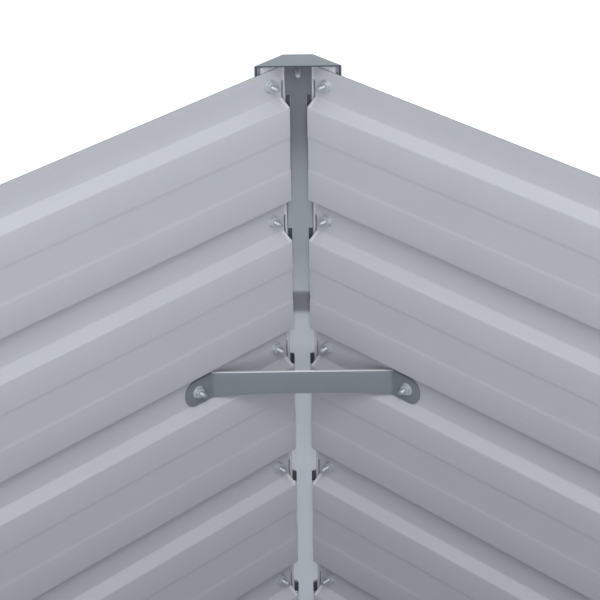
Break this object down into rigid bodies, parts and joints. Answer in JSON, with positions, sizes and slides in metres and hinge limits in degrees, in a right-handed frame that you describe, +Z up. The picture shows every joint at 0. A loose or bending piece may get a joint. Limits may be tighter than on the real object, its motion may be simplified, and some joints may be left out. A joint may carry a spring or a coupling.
{
  "type": "raised garden bed",
  "caption": "Square raised garden bed of lapped folded-steel planks with bolted corner columns, inner posts with windows, corner braces and caps, open at top and bottom.",
  "frame": {"origin": "middle of the bed's outline on the ground, at the lower edges of the lowest planks and the columns", "axes": "+Z up, +X along the front wall to the right, +Y from the front wall to the back wall"},
  "size_m": [1.0056, 1.0056, 0.768],
  "materials": {
    "plank_steel": "satin light grey",
    "corner_steel": "satin mid grey",
    "zinc": "zinc plated"
  },
  "bodies": {
    "root": {"plank_front_1": "plank_steel", "plank_front_2": "plank_steel", "plank_front_3": "plank_steel", "plank_front_4": "plank_steel", "plank_front_5": "plank_steel", "plank_front_6": "plank_steel", "plank_front_7": "plank_steel", "plank_right_1": "plank_steel", "plank_right_2": "plank_steel", "plank_right_3": "plank_steel", "plank_right_4": "plank_steel", "plank_right_5": "plank_steel", "plank_right_6": "plank_steel", "plank_right_7": "plank_steel", "plank_back_1": "plank_steel", "plank_back_2": "plank_steel", "plank_back_3": "plank_steel", "plank_back_4": "plank_steel", "plank_back_5": "plank_steel", "plank_back_6": "plank_steel", "plank_back_7": "plank_steel", "plank_left_1": "plank_steel", "plank_left_2": "plank_steel", "plank_left_3": "plank_steel", "plank_left_4": "plank_steel", "plank_left_5": "plank_steel", "plank_left_6": "plank_steel", "plank_left_7": "plank_steel", "column_front_left": "corner_steel", "post_front_left": "corner_steel", "cap_front_left": "corner_steel", "brace_front_left": "corner_steel", "bolts_front_left": "zinc", "nuts_front_left": "zinc", "cap_screw_front_left": "zinc", "column_front_right": "corner_steel", "post_front_right": "corner_steel", "cap_front_right": "corner_steel", "brace_front_right": "corner_steel", "bolts_front_right": "zinc", "nuts_front_right": "zinc", "cap_screw_front_right": "zinc", "column_back_right": "corner_steel", "post_back_right": "corner_steel", "cap_back_right": "corner_steel", "brace_back_right": "corner_steel", "bolts_back_right": "zinc", "nuts_back_right": "zinc", "cap_screw_back_right": "zinc", "column_back_left": "corner_steel", "post_back_left": "corner_steel", "cap_back_left": "corner_steel", "brace_back_left": "corner_steel", "bolts_back_left": "zinc", "nuts_back_left": "zinc", "cap_screw_back_left": "zinc"}
  },
  "joints": []
}
